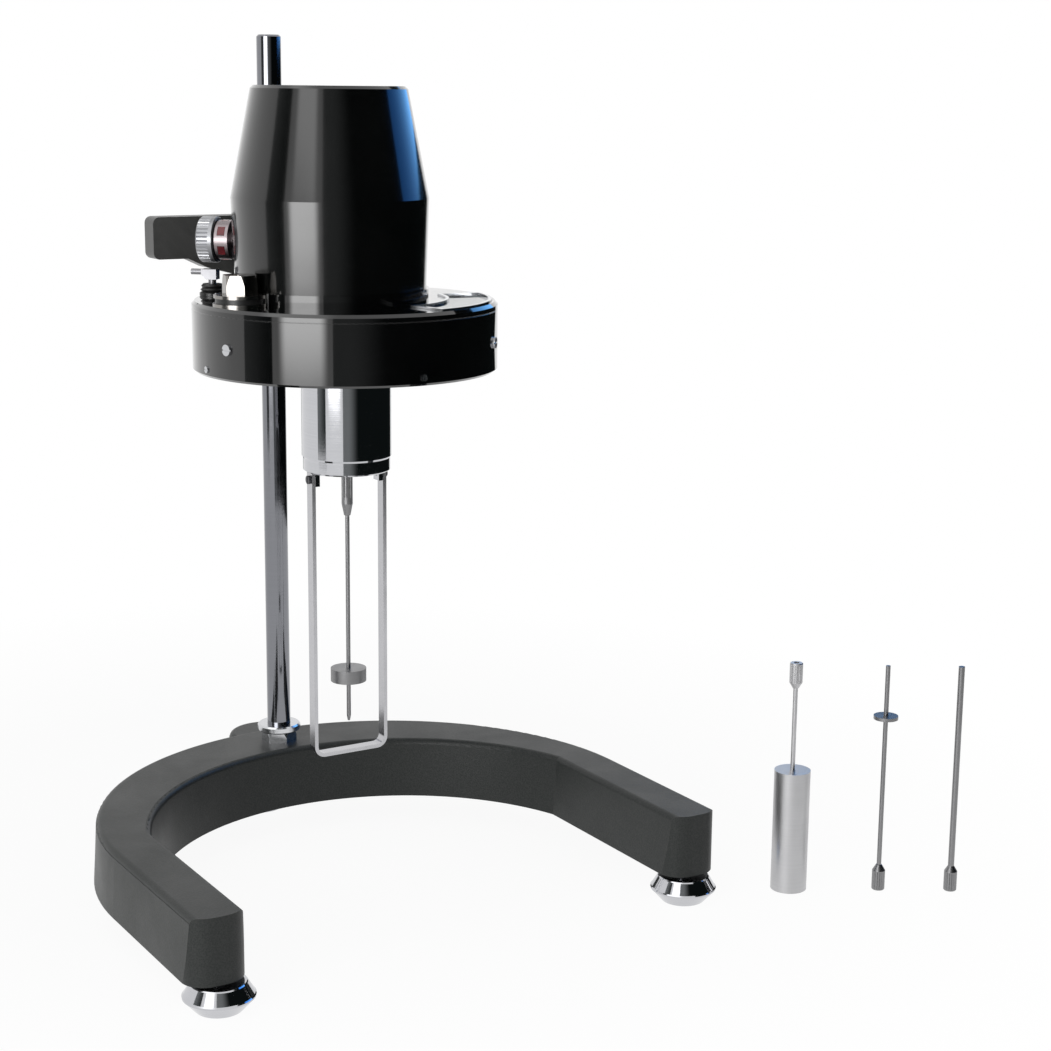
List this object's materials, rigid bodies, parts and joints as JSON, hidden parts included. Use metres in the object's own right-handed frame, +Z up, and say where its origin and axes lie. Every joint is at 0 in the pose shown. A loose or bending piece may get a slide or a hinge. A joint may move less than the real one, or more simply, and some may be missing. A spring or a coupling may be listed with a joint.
{
  "type": "dial rotational viscometer",
  "caption": "Rotational viscometer: a motor head with a dial hangs a measuring spindle in a guard from a column on a horseshoe stand with levelling feet; further spindles stand beside it.",
  "frame": {"origin": "centre of the rear levelling foot's sole, on the table", "axes": "+Z up along the column, -Y towards the open front of the horseshoe stand, +X to the right seen from the front"},
  "size_m": [0.4094, 0.3199, 0.438],
  "materials": {
    "stand_paint": "textured",
    "chrome": "polished",
    "nickel": "satin",
    "black_casting": "satin",
    "black_plastic": "satin",
    "gloss_black": "gloss black",
    "window_glass": "clear",
    "satin_black": "satin black",
    "collar_metal": "polished",
    "knob_metal": "knurled",
    "black_rubber": "matt",
    "grey_steel": "satin",
    "plate_metal": "satin",
    "motor_case": "satin",
    "brass": "satin",
    "dial_white": "matt white",
    "spring_steel": "satin",
    "pointer_red": "satin",
    "spindle_steel": "turned",
    "dark_screw": "satin"
  },
  "bodies": {
    "stand": {"base_casting": "stand_paint", "column": "chrome", "column_nut": "nickel", "column_collar": "chrome", "column_under_nut": "nickel"},
    "foot_rear": {"foot_rear": "chrome"},
    "foot_left": {"foot_left": "chrome"},
    "foot_right": {"foot_right": "chrome"},
    "head": {"carrier": "black_casting", "carrier_screws": "nickel", "housing_pan": "gloss_black", "pan_screws": "nickel", "edge_screws": "nickel", "top_cover": "gloss_black", "window_pane": "window_glass", "window_bezel": "chrome", "motor_cover": "satin_black", "speed_collar": "collar_metal", "stud_set": "nickel", "stud_plate": "black_casting", "lock_boot": "black_rubber", "switch_body": "nickel", "cable_gland": "black_plastic", "motor_plate": "plate_metal", "motor": "motor_case", "dial_bearing": "plate_metal", "shroud": "chrome", "shroud_bush": "brass", "guard": "chrome", "guard_screws": "dark_screw"},
    "clamp_knob": {"clamp_knob": "black_plastic"},
    "speed_knob": {"speed_knob": "knob_metal"},
    "lock_lever": {"lock_lever": "grey_steel"},
    "switch_toggle": {"switch_toggle": "chrome"},
    "pinion": {"motor_pinion": "brass"},
    "dial": {"dial_drive": "brass", "dial": "dial_white", "hairspring": "spring_steel"},
    "rotor": {"pointer": "pointer_red", "measuring_shaft": "spindle_steel", "coupling": "spindle_steel", "spindle_2": "spindle_steel"},
    "spindle_1": {"spindle_1": "spindle_steel"},
    "spindle_3": {"spindle_3": "spindle_steel"},
    "spindle_4": {"spindle_4": "spindle_steel"}
  },
  "joints": [
    {"name": "head_lift", "type": "slide", "parent": "stand", "child": "head", "axis": [0, 0, 1], "range_m": [-0.045, 0.085]},
    {"name": "clamp_knob_turn", "type": "hinge", "parent": "head", "child": "clamp_knob", "pos_m": [0.0145, -0.025, 0.333], "axis": [0, 1, 0], "range_deg": [-360, 0]},
    {"name": "speed_select", "type": "hinge", "parent": "head", "child": "speed_knob", "pos_m": [-0.00557, -0.10798, 0.3345], "axis": [-0.7431, 0.6691, 0], "range_deg": [0, 270]},
    {"name": "pointer_lock", "type": "slide", "parent": "head", "child": "lock_lever", "axis": [0, 0, -1], "range_m": [0, 0.0018], "stiffness_N_per_m": 300, "springref_m": -0.002},
    {"name": "power_switch", "type": "hinge", "parent": "head", "child": "switch_toggle", "pos_m": [0.02386, -0.06893, 0.336], "axis": [-0.7986, 0.6018, 0], "range_deg": [0, 24]},
    {"name": "dial_spin", "type": "hinge", "parent": "head", "child": "dial", "pos_m": [0, -0.113, 0.287], "axis": [0, 0, 1], "continuous": true},
    {"name": "pinion_spin", "type": "hinge", "parent": "head", "child": "pinion", "pos_m": [-0.01486, -0.09962, 0.308], "axis": [0, 0, 1], "continuous": true},
    {"name": "spindle_twist", "type": "hinge", "parent": "dial", "child": "rotor", "pos_m": [0, -0.113, 0.2], "axis": [0, 0, 1], "range_deg": [0, 300], "stiffness_Nm_per_rad": 0.000013},
    {"name": "foot_rear_turn", "type": "hinge", "parent": "stand", "child": "foot_rear", "pos_m": [0, 0, 0.003], "axis": [0, 0, 1], "range_deg": [-360, 360]},
    {"name": "foot_left_turn", "type": "hinge", "parent": "stand", "child": "foot_left", "pos_m": [-0.13, -0.238, 0.003], "axis": [0, 0, 1], "range_deg": [-360, 360]},
    {"name": "foot_right_turn", "type": "hinge", "parent": "stand", "child": "foot_right", "pos_m": [0.13, -0.238, 0.003], "axis": [0, 0, 1], "range_deg": [-360, 360]},
    {"name": "spindle_1_lift", "type": "slide", "parent": "stand", "child": "spindle_1", "axis": [0, 0, 1], "range_m": [0, 0.15]},
    {"name": "spindle_3_lift", "type": "slide", "parent": "stand", "child": "spindle_3", "axis": [0, 0, 1], "range_m": [0, 0.15]},
    {"name": "spindle_4_lift", "type": "slide", "parent": "stand", "child": "spindle_4", "axis": [0, 0, 1], "range_m": [0, 0.15]}
  ],
  "couplings": [
    {"joint": "pinion_spin", "follows": "dial_spin", "ratio": -3.1667}
  ]
}
